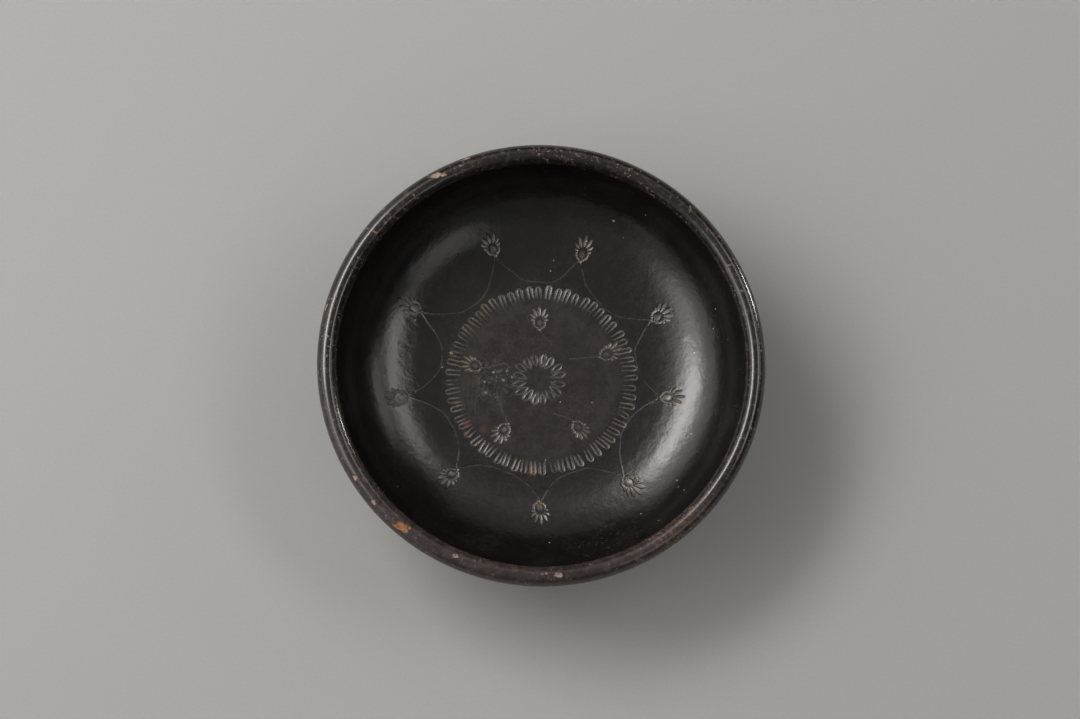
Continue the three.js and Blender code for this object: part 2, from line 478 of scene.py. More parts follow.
# %% Points of the blank
def triangle_lattice(step, reach):
    """Evenly spaced points on a disc, in rows that are offset by half a step."""
    rows = np.arange(-reach, reach, step * math.sqrt(3) / 2)
    columns = np.arange(-reach, reach, step)
    x, y = np.meshgrid(columns, rows)
    x[1::2] += step / 2
    points = np.stack([x.ravel(), y.ravel()], 1)
    return points[np.linalg.norm(points, axis=1) < reach]


def rings(start, end, step, count):
    """Rings of points between two distances, each turned by half a step against the last."""
    number = max(1, round((end - start) / step))
    made = []
    for i, radius in enumerate(np.linspace(start, end, number, endpoint=False)):
        turn = (np.arange(count) + 0.5 * (i % 2)) * (2 * math.pi / count)
        made.append(np.stack([radius * np.cos(turn), radius * np.sin(turn)], 1))
    return np.concatenate(made)


def patches_round_chips(step):
    """Fine points on the blank round each chip."""
    made = []
    for chip in LIP_CHIPS:
        reach = chip["size"] * CHIP_REACH + TOUCH
        made.append(triangle_lattice(step, reach) + polar(chip_along(chip), chip["direction"]))
    return np.concatenate(made)


WALL_COUNT = 360  # points on each ring of the upper wall
LIP_COUNT = 480
LIP_STEP = 0.7
BLANK_EDGE = LIP_ENDS + 1.5

fine = triangle_lattice(FINE_STEP, FINE_LIMIT)
fine = np.concatenate([fine[distance_to_marks(fine) < TOUCH], patches_round_chips(FINE_STEP)])
middle = triangle_lattice(MIDDLE_STEP, FINE_LIMIT)
off = distance_to_marks(middle)
middle = middle[(off > TOUCH + MIDDLE_STEP / 2) & (off < TOUCH + 2.5 * MIDDLE_STEP)]
coarse = np.concatenate([
    triangle_lattice(COARSE_STEP, FINE_LIMIT),
    rings(FINE_LIMIT + COARSE_STEP / 2, LIP_BEGINS - 1, COARSE_STEP, WALL_COUNT),
])
coarse = coarse[distance_to_marks(coarse) > TOUCH + 3 * MIDDLE_STEP]
lip_rings = rings(LIP_BEGINS - 1, BLANK_EDGE, LIP_STEP, LIP_COUNT)
lip_rings = lip_rings[distance_to_marks(lip_rings) > TOUCH + LIP_STEP / 2]
edge = rings(BLANK_EDGE, BLANK_EDGE + 0.1, 1, LIP_COUNT)
inner_points = np.concatenate([fine, middle, coarse, lip_rings, edge])
print(f"points: {len(fine)} fine, {len(middle)} between, {len(coarse)} coarse, {len(lip_rings)} on the lip")


# %% Faces of the blank
def triangulate(points):
    """Counter-clockwise Delaunay triangles of flat points, with points that all but touch made one."""
    whole_hull, touching = 0, 1e-7
    result = delaunay_2d_cdt([Vector(p) for p in points], [], [], whole_hull, touching, False)
    return np.array([p[:] for p in result[0]]), np.array([list(f) for f in result[2]])


def join_rings(last, ring, halve):
    """Triangles between two rings of point numbers. With halve, the second ring has half as many points."""
    next_last = np.roll(last, -1)
    next_ring = np.roll(ring, -1)
    if not halve:
        return [(last, ring, next_ring), (last, next_ring, next_last)]
    a, b, c = last[::2], last[1::2], np.roll(last[::2], -1)
    return [(a, ring, b), (b, ring, next_ring), (b, next_ring, c)]


def outside_rings(first, number):
    """Rings from the lip round the foot to the axis. The triangles number on from the blank's points."""
    stretches = [
        # from, to, and the step between rings
        (BLANK_EDGE, OUTER_ENDS, 2.4),
        (OUTER_ENDS, FOOT_ENDS, 0.85),
        (FOOT_ENDS, SECTION_LENGTH, 2.6),
    ]
    radii = np.concatenate([np.arange(*stretch) for stretch in stretches])[1:]
    points, faces, last, count = [], [], first, LIP_COUNT
    for i, radius in enumerate(radii):
        halve = i == 0
        count = count // 2 if halve else count
        turn = np.arange(count) * (2 * math.pi / count)
        points.append(np.stack([radius * np.cos(turn), radius * np.sin(turn)], 1))
        ring = number + np.arange(count)
        faces += [np.stack(f, 1) for f in join_rings(last, ring, halve)]
        last, number = ring, number + count
    points.append(np.array([[SECTION_LENGTH, 0]]))
    tip = np.full(count, number)
    faces.append(np.stack([last, tip, np.roll(last, -1)], 1))
    return np.concatenate(points), np.concatenate(faces)


OUTER_ENDS = along_at(FOOT_OUTER + 1.5, UNDERSIDE + 0.5)
FOOT_ENDS = along_at(FOOT_INNER - FOOT_COVE - 1, UNDERSIDE)

flat_points, flat_faces = triangulate(inner_points)
edge_ids = np.argsort(np.arctan2(flat_points[:, 1], flat_points[:, 0]))
edge_ids = edge_ids[np.linalg.norm(flat_points[edge_ids], axis=1) > BLANK_EDGE - 0.01]
edge_ids = np.roll(edge_ids, -np.argmin(np.abs(np.arctan2(*flat_points[edge_ids].T[::-1]))))
outside_points, outside_faces = outside_rings(edge_ids, len(flat_points))
blank_points = np.concatenate([flat_points, outside_points])
blank_faces = np.concatenate([flat_faces, outside_faces])
print(f"the blank has {len(blank_faces)} triangles")


# %% The blank as a mesh
def mesh_object(name, points, faces=()):
    """An object at the origin from points in millimetres."""
    mesh = bpy.data.meshes.new(name)
    mesh.from_pydata([tuple(p) for p in np.array(points) * MM], [], [tuple(f) for f in faces])
    made = bpy.data.objects.new(name, mesh)
    bpy.context.scene.collection.objects.link(made)
    return made


no_height = np.zeros(len(blank_points))
bowl = mesh_object("black_gloss_bowl", np.column_stack([blank_points, no_height]), blank_faces)
print(f"the blank is a disc {2 * SECTION_LENGTH:.0f} mm across")


# %% [markdown]
# ## The wheel
#
# On the wheel, every bit of clay keeps its distance along the section while the wheel carries it round.
# Geometry Nodes suit such a rule: measure a point's distance from the middle of the blank, sample the
# section at that length, and put the point at the sampled radius and height, in its own direction.
# Fingers leave soft rings in the wall, and the lip wavers a little, so both get a slow noise. The length
# along the section is stored for the finish to read.

# %% The wheel group
RING_CHANGE = 0.7  # how much a finger ring changes on its way round
WAVER_SCALE = 1.3  # the higher, the more waves the lip makes
WAVER_SLICE = 7.0  # the part of the noise that they are read from


def wheel_group():
    """Turns a blank.

    Ring is how deep the finger rings are, Spacing how far apart, and Waver how far the lip goes up and
    down. Lip is where along the section the lip begins.
    """
    tree, given = new_group(
        "wheel", Blank="geometry", Section="object", Ring="length", Spacing="length", Waver="length",
        Lip="length")
    position = tree.node("GeometryNodeInputPosition")
    along = tree.maths("LENGTH", position).output("Value")
    outward_x, outward_y, _ = tree.split(tree.maths("NORMALIZE", position))
    half = tree.node("GeometryNodeObjectInfo", inputs={"Object": given["Section"]}, output="Geometry")
    by_length = {"mode": "LENGTH", "use_all_curves": True}
    sample = tree.node("GeometryNodeSampleCurve", by_length, {"Curves": half, "Length": along}, 1)
    radius, _, height = tree.split(sample)
    run, _, rise = tree.split(sample.output("Tangent"))
    here = tree.join(outward_x * RING_CHANGE, outward_y * RING_CHANGE, along / given["Spacing"])
    fingers = tree.node("ShaderNodeTexNoise", inputs={"Vector": here, "Scale": 1.0, "Detail": 1.0})
    around = tree.join(outward_x, outward_y, WAVER_SLICE)
    slow = tree.node("ShaderNodeTexNoise", inputs={"Vector": around, "Scale": WAVER_SCALE})
    sunk = fingers * given["Ring"]
    raised = (slow - 0.5) * given["Waver"] * tree.maths("MINIMUM", along / given["Lip"], 1.0)
    radius = radius + rise * sunk
    height = height - run * sunk + raised
    turned = tree.node("GeometryNodeSetPosition", inputs={
        "Geometry": tree.node(
            "GeometryNodeStoreNamedAttribute", {"data_type": "FLOAT", "domain": "POINT"},
            {"Geometry": given["Blank"], "Name": "along", "Value": along / MM}),
        "Position": tree.join(radius * outward_x, radius * outward_y, height),
    })
    return close_group(tree, turned)


wheel = wheel_group()
print("wheel takes", [i.name for i in wheel.interface.items_tree if i.in_out == "INPUT"])

# %% [markdown]
# ## The stamps and the pointed tool
#
# Three tools marked the wet floor: a palmette stamp, a tongue stamp, and a point drawn along the lines.
# Here each is a small solid. A palmette is a round heart with pointed leaves fanned about it, and a
# tongue is one stroke bent over at its outer end. Instances are right for them, because one die is set
# down many times, each time a little crooked.

# %% The shape of a palmette
HEART_RADIUS = 2.1
HEART_SETBACK = 1.9
LEAF_COUNT = 15
LEAF_SPREAD = math.radians(312)
LEAF_START = 1.9
LEAF_TIP = 7.6
LEAF_BACK = 2.8
LEAF_FALL = 1.6
LEAF_HALF_WIDTH = 0.6
STEM_LENGTH = 1.2
STEM_CLEAR = 0.6  # share of the stem that sticks out behind the leaves
HEART_LONG, HEART_WIDE = 1.05, 0.8  # against its radius
HEART_DEEP = 0.45  # against a leaf's depth
DIE_OVERHANG = 0.8  # how high the middle of a die's ball stands, against its depth


def rounded_die(tree, depth, overhang):
    """A ball one unit in radius that dips to a depth, with its middle an overhang above the clay."""
    ball = tree.node("GeometryNodeMeshUVSphere", inputs={"Segments": 14, "Rings": 10, "Radius": 1.0})
    up = tree.join(0.0, 0.0, overhang)
    scale = tree.join(1.0, 1.0, depth + overhang)
    return tree.node("GeometryNodeTransform", inputs={"Geometry": ball, "Translation": up, "Scale": scale})


def leaf(tree, depth, overhang):
    """A leaf one unit long from its base, pointed at both ends, and two units wide before it is scaled."""
    ball = rounded_die(tree, depth, overhang)
    x, y, z = tree.split(tree.node("GeometryNodeInputPosition"))
    taper = tree.maths("MAXIMUM", 1 - x * x, 0.0) ** 0.5
    shaped = tree.join((x + 1.0) * 0.5, y * taper, z)
    return tree.node("GeometryNodeSetPosition", inputs={"Geometry": ball, "Position": shaped})


# %% The palmette group
def palmette_group():
    """A palmette that points along X, with the middle of its outline at the origin."""
    tree, given = new_group(
        "palmette", Leaves="count", Start="length", Tip="length", Back="length", Width="length",
        Depth="length", Heart="length", Setback="length", Stem="length")
    overhang = given["Depth"] * DIE_OVERHANG
    blade = leaf(tree, given["Depth"], overhang)
    points = tree.node("GeometryNodePoints", inputs={"Count": given["Leaves"]}, output=0)
    share = tree.node("GeometryNodeInputIndex") / (given["Leaves"] - 1.0)
    turn = (share - 0.5) * LEAF_SPREAD
    forward = tree.maths("MAXIMUM", tree.maths("COSINE", turn), 0.0) ** LEAF_FALL
    reach = given["Back"] + (given["Tip"] - given["Back"]) * forward
    ahead = given["Start"] * tree.maths("COSINE", turn) - given["Setback"]
    begin = tree.join(ahead, given["Start"] * tree.maths("SINE", turn), 0.0)
    fan = tree.node("GeometryNodeInstanceOnPoints", inputs={
        "Points": tree.node("GeometryNodeSetPosition", inputs={"Geometry": points, "Position": begin}),
        "Instance": blade,
        "Rotation": tree.join(0.0, 0.0, turn),
        "Scale": tree.join(reach - given["Start"], given["Width"], 1.0),
    })
    heart = tree.node("GeometryNodeTransform", inputs={
        "Geometry": rounded_die(tree, given["Depth"] * HEART_DEEP, overhang),
        "Translation": tree.join(0.0 - given["Setback"], 0.0, 0.0),
        "Scale": tree.join(given["Heart"] * HEART_LONG, given["Heart"] * HEART_WIDE, 1.0),
    })
    behind = given["Stem"] * STEM_CLEAR
    stem = tree.node("GeometryNodeTransform", inputs={
        "Geometry": blade,
        "Translation": tree.join(0.0 - given["Setback"] - given["Back"] - behind, 0.0, 0.0),
        "Scale": tree.join(given["Stem"], given["Width"], 1.0),
    })
    joined = tree.node("GeometryNodeJoinGeometry", inputs={0: [fan, heart, stem]})
    return close_group(tree, tree.node("GeometryNodeRealizeInstances", inputs={0: joined}))


palmette = palmette_group()


# %% Paths of the tongue and of the rosette's petal
TONGUE_NOSE = 1.3  # how far its rounded end reaches, against a half circle
TONGUE_OPEN = 0.9  # how wide it is at its open end, against its full width
PETAL_BELLY = 1.25  # the higher, the further out a petal is widest


def tongue_path():
    """One stroke up one side, round the outer end and down the other, along X."""
    bend = TONGUE_WIDTH / 2
    nose = bend * TONGUE_NOSE
    turn = np.linspace(-math.pi / 2, math.pi / 2, 9)
    end = np.stack([TONGUE_LENGTH / 2 - nose + nose * np.cos(turn), bend * np.sin(turn)], 1)
    begin, back = [(-TONGUE_LENGTH / 2, side * bend * TONGUE_OPEN) for side in (-1, 1)]
    return [(x, y, 0) for x, y in [begin, *end, back]]


def petal_path():
    """A lens that is drawn round in one stroke, pointed at both ends and widest past its middle."""
    share = np.linspace(0, 1, 11)
    width = np.sin(math.pi * share**PETAL_BELLY) * PETAL_WIDTH / 2
    x = (share - 0.5) * PETAL_LENGTH
    return [(a, b, 0) for a, b in [*zip(x, -width), *zip(x[-2::-1], width[-2::-1])]]


# %% A stroke that follows a path
def stroke(tree, curve, width, depth, thickness):
    """A round bar along a curve, and how high to lift it so that it cuts a groove of a width and depth."""
    radius = (width * width / 4 + depth * depth) / (depth * 2)
    profile = tree.node("GeometryNodeCurvePrimitiveCircle", inputs={"Resolution": 12, "Radius": radius})
    bar = tree.node("GeometryNodeCurveToMesh", inputs={
        "Curve": curve, "Profile Curve": profile, "Scale": thickness, "Fill Caps": True})
    return bar, radius - depth


STROKE_ENDS = 0.66  # how thick a stroke is at its ends, against its full thickness


def outline_group():
    """A die that is one stroke along a path, and swells along each of its two sides."""
    tree, given = new_group("outline", Path="object", Width="length", Depth="length")
    path = tree.node("GeometryNodeObjectInfo", inputs={"Object": given["Path"]}, output="Geometry")
    share = tree.node("GeometryNodeSplineParameter")
    swell = tree.maths("ABSOLUTE", tree.maths("SINE", share * (2 * math.pi)))
    thickness = STROKE_ENDS + (1 - STROKE_ENDS) * swell
    bar, lift = stroke(tree, path, given["Width"], given["Depth"], thickness)
    return close_group(tree, tree.node("GeometryNodeTransform", inputs={
        "Geometry": bar, "Translation": tree.join(0.0, 0.0, lift)}))


outline = outline_group()
tongue_curve = poly_curve("tongue_path", [tongue_path()])
petal_curve = poly_curve("petal_path", [petal_path()])

# %% [markdown]
# ## Setting the dies down
#
# A ray straight down finds the clay below each place and the way it faces, so a die stands square on the
# curved wall as well as on the flat floor. The drawn lines are dropped on the clay in the same way before
# they get their thickness.

# %% Dies on the clay
WELL_ABOVE = 0.15  # in metres, higher than any part of the bowl
SIZE_VARIES = (0.92, 1.08)  # how long and wide a mark comes out, against its die
DEPTH_VARIES = (0.6, 1.1)  # and how deep


def drop(tree, points, clay):
    """Puts points on the clay straight below them. Returns them and the way the clay faces there."""
    above = tree.maths("ADD", tree.node("GeometryNodeInputPosition"), (0, 0, WELL_ABOVE))
    hit = tree.node("GeometryNodeRaycast", inputs={
        "Target Geometry": clay, "Source Position": above, "Ray Direction": (0, 0, -1),
        "Ray Length": 2 * WELL_ABOVE,
    }, output="Hit Position")
    dropped = tree.node("GeometryNodeSetPosition", inputs={"Geometry": points, "Position": hit})
    return dropped, hit.output("Hit Normal")


def vary(tree, least, most, seed):
    """A random number for each point, the same at every run."""
    limits = {"Min_001": least, "Max_001": most, "Seed": seed}
    return tree.node("FunctionNodeRandomValue", {"data_type": "FLOAT"}, limits, "Value_001")


def set_down(tree, points, die, clay, middle, crooked, seed):
    """Stands a die on each point, facing away from the middle and a little crooked."""
    points, facing = drop(tree, points, clay)
    outward = tree.node("GeometryNodeInputPosition") - middle
    square = tree.node("FunctionNodeAxesToRotation", {"primary_axis": "Z", "secondary_axis": "X"}, {
        "Primary Axis": facing, "Secondary Axis": outward})
    slip = tree.node("FunctionNodeAxisAngleToRotation", inputs={
        "Axis": (0, 0, 1), "Angle": vary(tree, -1.0, 1.0, seed) * crooked})
    turned = tree.node("FunctionNodeRotateRotation", {"rotation_space": "LOCAL"}, {
        "Rotation": square, "Rotate By": slip})
    long, wide = [vary(tree, *SIZE_VARIES, seed + i) for i in (1, 2)]
    scale = tree.join(long, wide, vary(tree, *DEPTH_VARIES, seed + 3))
    return tree.node("GeometryNodeInstanceOnPoints", inputs={
        "Points": points, "Instance": die, "Rotation": turned, "Scale": scale})


# %% A ring of places
STRAY_ALONG = 0.12  # how far a place strays along its ring, as a share of the spacing
STRAY_OUT = 0.35  # and across it, in millimetres


def ring_of_places(tree, count, radius, shift, seed):
    """Places round a ring, none quite where it should be."""
    points = tree.node("GeometryNodePoints", inputs={"Count": count}, output=0)
    share = (tree.node("GeometryNodeInputIndex") + vary(tree, -STRAY_ALONG, STRAY_ALONG, seed)) / count
    turn = share * (2 * math.pi)
    out = radius + vary(tree, -STRAY_OUT, STRAY_OUT, seed + 1) * MM
    place = tree.join(out * tree.maths("COSINE", turn) + shift, out * tree.maths("SINE", turn), 0.0)
    return tree.node("GeometryNodeSetPosition", inputs={"Geometry": points, "Position": place})


# %% The decoration group
CROOKED = {"palmette": 7, "tongue": 8, "petal": 11}  # up to so many degrees


def stamps_group():
    """All stamps, standing in the clay."""
    tree, given = new_group(
        "stamps", Clay="geometry", Palmettes="object", Tongue="object", Petal="object",
        Palmette_depth="length", Tongue_depth="length", Stroke="length",
        Ring_radius="length", Ring_shift="length", Ring_count="count", Rosette_radius="length",
        Rosette_count="count")
    clay = given["Clay"]
    flower = call(tree, palmette, Leaves=LEAF_COUNT, Start=LEAF_START * MM, Tip=LEAF_TIP * MM,
                  Back=LEAF_BACK * MM, Width=LEAF_HALF_WIDTH * MM, Depth=given["Palmette_depth"],
                  Heart=HEART_RADIUS * MM, Setback=HEART_SETBACK * MM, Stem=STEM_LENGTH * MM)
    spots = tree.node("GeometryNodeObjectInfo", inputs={"Object": given["Palmettes"]}, output="Geometry")
    spots = tree.node("GeometryNodeMeshToPoints", inputs={"Mesh": spots})
    middle = (0.0, 0.0, 0.0)
    flowers = set_down(tree, spots, flower, clay, middle, math.radians(CROOKED["palmette"]), 3)
    bar = call(tree, outline, Path=given["Tongue"], Width=given["Stroke"], Depth=given["Tongue_depth"])
    shift = tree.join(given["Ring_shift"], 0.0, 0.0)
    ring = ring_of_places(tree, given["Ring_count"], given["Ring_radius"], given["Ring_shift"], 11)
    ring = set_down(tree, ring, bar, clay, shift, math.radians(CROOKED["tongue"]), 17)
    petal = call(tree, outline, Path=given["Petal"], Width=given["Stroke"], Depth=given["Tongue_depth"])
    rosette = ring_of_places(tree, given["Rosette_count"], given["Rosette_radius"], 0.0, 23)
    rosette = set_down(tree, rosette, petal, clay, middle, math.radians(CROOKED["petal"]), 29)
    joined = tree.node("GeometryNodeJoinGeometry", inputs={0: [flowers, ring, rosette]})
    return close_group(tree, tree.node("GeometryNodeRealizeInstances", inputs={0: joined}))


stamps = stamps_group()


# %% The drawn lines group
WANDER_SCALE = 90.0
FADE_SCALE = 60.0
FADE_THINNING = 0.35  # how much thinner the bar is where a line has faded


def scoring_group():
    """Round bars along the drawn lines. They wander a little, and rise here and there until the line fades.

    The point went in firmly at both ends of a line, so it doesn't fade there.
    """
    tree, given = new_group(
        "scoring", Clay="geometry", Lines="object", Width="length", Depth="length", Wander="length")
    lines = tree.node("GeometryNodeObjectInfo", inputs={"Object": given["Lines"]}, output="Geometry")
    position = tree.node("GeometryNodeInputPosition")
    wandering = {"Vector": position, "Scale": WANDER_SCALE, "Detail": 1.0}
    drift = tree.node("ShaderNodeTexNoise", inputs=wandering, output="Color")
    offset = (drift - 0.5) * tree.join(given["Wander"], given["Wander"], 0.0)
    lines = tree.node("GeometryNodeSetPosition", inputs={"Geometry": lines, "Offset": offset})
    lines, _ = drop(tree, lines, given["Clay"])
    uneven = tree.node("ShaderNodeTexNoise", inputs={"Vector": position, "Scale": FADE_SCALE})
    from_middle = tree.maths("ABSOLUTE", tree.node("GeometryNodeSplineParameter") * 2.0 - 1.0)
    fade = tree.step(uneven, 0.56, 0.76) * (1 - tree.step(from_middle, 0.6, 0.8))
    bars, lift = stroke(tree, lines, given["Width"], given["Depth"], 1.0 - FADE_THINNING * fade)
    up = tree.join(0.0, 0.0, lift)
    bars = tree.node("GeometryNodeTransform", inputs={"Geometry": bars, "Translation": up})
    return close_group(tree, bars)


scoring = scoring_group()


# %% [markdown]
# ## The knocks
#
# A chip is where a knock took out a small shell of clay, so it is hollow and a little rough. Each is cut
# by a lump that stands mostly outside the lip: a ball made longer along the lip, and roughened by noise.
# The lumps are instances on points that carry their own size and heading.

# %% Points for the chips
def chip_points():
    """One point for each chip, at the middle of its lump, with its size and heading stored on it."""
    places = []
    for chip in LIP_CHIPS:
        turn = math.radians(chip["around"])
        radius, height = lip_curve(turn)
        out = chip["size"] * (1 - CHIP_BITE)
        x, y = polar(radius + out * math.cos(turn), chip["direction"])
        places.append((x, y, height + out * math.sin(turn)))
    made = mesh_object("chip_points", places)
    sizes = made.data.attributes.new("size", "FLOAT", "POINT")
    sizes.data.foreach_set("value", [chip["size"] * MM for chip in LIP_CHIPS])
    headings = made.data.attributes.new("heading", "FLOAT", "POINT")
    headings.data.foreach_set("value", [math.radians(chip["direction"]) for chip in LIP_CHIPS])
    return made


# %% The lumps group
def read(tree, name):
    """A number stored on the points."""
    settings = {"data_type": "FLOAT"}
    return tree.node("GeometryNodeInputNamedAttribute", settings, {"Name": name}, "Attribute")


CRUMB_SCALE = 500.0


def lumps_group():
    """Rough balls on the chip points. Stretch is how much longer they are along the lip than across it.

    Rough is how far it is from their hollows to their hills.
    """
    tree, given = new_group("lumps", Points="object", Stretch="length", Rough="length")
    points = tree.node("GeometryNodeObjectInfo", inputs={"Object": given["Points"]}, output="Geometry")
    points = tree.node("GeometryNodeMeshToPoints", inputs={"Mesh": points})
    size = read(tree, "size")
    ball = tree.node("GeometryNodeMeshIcoSphere", inputs={"Radius": 1.0, "Subdivisions": 5})
    lumps = tree.node("GeometryNodeInstanceOnPoints", inputs={
        "Points": points, "Instance": ball, "Rotation": tree.join(0.0, 0.0, read(tree, "heading")),
        "Scale": tree.join(size, size * given["Stretch"], size)})
    lumps = tree.node("GeometryNodeRealizeInstances", inputs={0: lumps})
    position = tree.node("GeometryNodeInputPosition")
    crumbling = {"Vector": position, "Scale": CRUMB_SCALE, "Detail": 2.0}
    crumble = tree.node("ShaderNodeTexNoise", inputs=crumbling)
    offset = tree.node("GeometryNodeInputNormal") * ((crumble - 0.5) * given["Rough"])
    rough = tree.node("GeometryNodeSetPosition", inputs={"Geometry": lumps, "Offset": offset})
    return close_group(tree, rough)


lumps = lumps_group()
chip_places = chip_points()
print(f"{len(LIP_CHIPS)} chips in the lip")

# %% [markdown]
# ## Pressing
#
# Wet clay moves out of a stamp's way. For each point of the clay a ray starts a little below the surface
# and looks out along the way that the surface faces. If it meets a die before it is out, the point moves
# down to where the die is. A Boolean would cut the same shapes, but it makes thin faces, and it can't
# tell the finish how deep a mark is. Here the depth is stored on the point, and the finish reads it.

# %% The press group
def press_group():
    """Moves the clay out of the way of the dies and stores how far, in millimetres, under a name."""
    tree, given = new_group("press", Clay="geometry", Dies="geometry", Reach="length", Mark="name")
    facing = tree.node("GeometryNodeInputNormal")
    below = tree.node("GeometryNodeInputPosition") - facing * given["Reach"]
    ray = tree.node("GeometryNodeRaycast", inputs={
        "Target Geometry": given["Dies"], "Source Position": below, "Ray Direction": facing,
        "Ray Length": given["Reach"]})
    depth = (given["Reach"] - ray.output("Hit Distance")) / MM
    marked = tree.node("GeometryNodeStoreNamedAttribute", {"data_type": "FLOAT", "domain": "POINT"}, {
        "Geometry": given["Clay"], "Name": given["Mark"], "Value": depth * ray.output("Is Hit")})
    pressed = tree.node("GeometryNodeSetPosition", inputs={
        "Geometry": marked, "Selection": ray.output("Is Hit"), "Position": ray.output("Hit Position")})
    return close_group(tree, pressed)


press = press_group()

# %% [markdown]
# ## The whole making as one tree
#
# The bowl's tree reads like the potter's day: wheel, stamps, press, then the knocks that came later. Its
# sizes are its inputs, so the bowl can be made again with other sizes without opening the tree.

# %% The making group
def making_group():
    """From the blank to the worn bowl: the wheel, the stamps and lines, the press and the knocks."""
    tree, given = new_group(
        "making", Blank="geometry", Section="object", Palmettes="object", Tongue="object", Petal="object",
        Lines="object", Chips="object", Finger_ring="length", Finger_spacing="length", Waver="length",
        Palmette_depth="length", Tongue_depth="length", Stroke="length", Line_width="length",
        Line_depth="length", Finish="material")
    thrown = call(tree, wheel, Blank=given["Blank"], Section=given["Section"], Ring=given["Finger_ring"],
                  Spacing=given["Finger_spacing"], Waver=given["Waver"], Lip=LIP_BEGINS * MM)
    dies = call(tree, stamps, Clay=thrown, Palmettes=given["Palmettes"], Tongue=given["Tongue"],
                Petal=given["Petal"], Palmette_depth=given["Palmette_depth"],
                Tongue_depth=given["Tongue_depth"], Stroke=given["Stroke"],
                Ring_radius=TONGUE_RING["radius"] * MM, Ring_shift=TONGUE_RING["shift"] * MM,
                Ring_count=TONGUE_RING["count"], Rosette_radius=ROSETTE["radius"] * MM,
                Rosette_count=ROSETTE["count"])
    bars = call(tree, scoring, Clay=thrown, Lines=given["Lines"], Width=given["Line_width"],
                Depth=given["Line_depth"], Wander=2.0 * MM)
    scored = call(tree, press, Clay=thrown, Dies=bars, Reach=2.0 * MM, Mark="scored")
    stamped = call(tree, press, Clay=scored, Dies=dies, Reach=2.0 * MM, Mark="pressed")
    knocks = call(tree, lumps, Points=given["Chips"], Stretch=1.5, Rough=2.0 * MM)
    chipped = call(tree, press, Clay=stamped, Dies=knocks, Reach=3.5 * MM, Mark="chipped")
    smooth = tree.node("GeometryNodeSetShadeSmooth", {"domain": "FACE"}, {"Geometry": chipped})
    whole = tree.node("GeometryNodeRealizeInstances", inputs={0: smooth})
    return close_group(tree, tree.node("GeometryNodeSetMaterial", inputs={
        "Geometry": whole, "Material": given["Finish"]}))


making = making_group()


# %% Making the bowl
def set_inputs(modifier, values):
    """Sets a modifier's inputs by their identifiers."""
    for item in modifier.node_group.interface.items_tree:
        if item.in_out == "INPUT" and item.name in values:
            modifier[item.identifier] = values[item.name]


def make_plain(target):
    """Replaces an object's mesh by what its modifiers make, and removes them."""
    graph = bpy.context.evaluated_depsgraph_get()
    seen = target.evaluated_get(graph)
    mesh = bpy.data.meshes.new_from_object(seen, preserve_all_data_layers=True, depsgraph=graph)
    target.modifiers.clear()
    target.data = mesh
    mesh.name = target.name


gloss = bpy.data.materials.new("black_gloss")
palmette_points = mesh_object(
    "palmette_points", [(*polar(*place), 0) for place in OUTER_PALMETTES + INNER_PALMETTES])
line_curves = poly_curve("drawn_lines", [[(x, y, 0) for x, y in line] for line in drawn_lines])
modifier = bowl.modifiers.new("making", "NODES")
modifier.node_group = making
set_inputs(modifier, {
    "Section": section_curve, "Palmettes": palmette_points, "Tongue": tongue_curve, "Petal": petal_curve,
    "Lines": line_curves, "Chips": chip_places, "Finger_ring": 0.14 * MM, "Finger_spacing": 6.5 * MM,
    "Waver": 0.5 * MM, "Palmette_depth": 0.36 * MM, "Tongue_depth": 0.32 * MM, "Stroke": 1.0 * MM,
    "Line_width": 0.45 * MM, "Line_depth": 0.13 * MM, "Finish": gloss,
})
make_plain(bowl)
for helper in (section_curve, palmette_points, tongue_curve, petal_curve, line_curves, chip_places):
    bpy.data.objects.remove(helper)
print(f"the bowl has {len(bowl.data.polygons)} faces and stores {[a.name for a in bowl.data.attributes]}")

# %% [markdown]
# ## The black gloss
#
# The gloss is a thin skin of fine clay that turned to glass in a smoky fire. It is almost black, a little
# brown where the smoke was thin, and covered by a film of dirt; the extra film on the lower, near side of
# the lip is a painted sheen. Marks hold grey dust. Where a knock or rubbing has gone through it, orange
# clay shows. All of it is worked out from the place on the bowl in millimetres, and from the depths that
# the press stored. Each layer is a mask from 0 to 1, and the layers are laid over one another at the end.

# %% Colours, as linear light
def linear(red, green, blue):
    """Linear light of a colour given from 0 to 255 as a screen shows it, by the screens' own rule."""
    shares = [c / 255 for c in (red, green, blue)]
    return tuple(((c + 0.055) / 1.055) ** 2.4 if c > 0.04045 else c / 12.92 for c in shares)


GLOSS_BLACK = linear(7, 7, 7)
GLOSS_BROWN = linear(34, 27, 25)
FILM_AND_SHEEN = linear(78, 66, 65)
DARK_OLIVE = linear(33, 31, 25)
DUST = linear(108, 103, 96)
WARM_DUST = linear(110, 98, 84)
WORN_BROWN = linear(84, 72, 65)
RED_BROWN = linear(66, 46, 39)
CLAY_ORANGE = linear(134, 84, 46)
CLAY_PINK = linear(132, 110, 98)
MISFIRED = linear(92, 50, 48)
PALE_SPECK = linear(168, 162, 152)

# %% The finish's place on the bowl
gloss.use_nodes = True
gloss.node_tree.nodes.clear()
shade = Tree(gloss.node_tree)
place = shade.node("ShaderNodeTexCoord", output="Object") * (1 / MM, 1 / MM, 1 / MM)


def stored(name):
    """A number that the making tree stored on the bowl."""
    return shade.node("ShaderNodeAttribute", {"attribute_name": name}, output="Fac")


def elsewhere(seed):
    """The place moved by a seed, so that each pattern is read from a part of its own."""
    return place + (seed * 31.0, seed * 17.0, 0.0)


def noise(size, detail, seed):
    """Noise from 0 to 1 whose lumps are about a size in millimetres."""
    return shade.node("ShaderNodeTexNoise", inputs={
        "Vector": elsewhere(seed), "Scale": 1 / size, "Detail": detail, "Roughness": 0.6}, output="Fac")


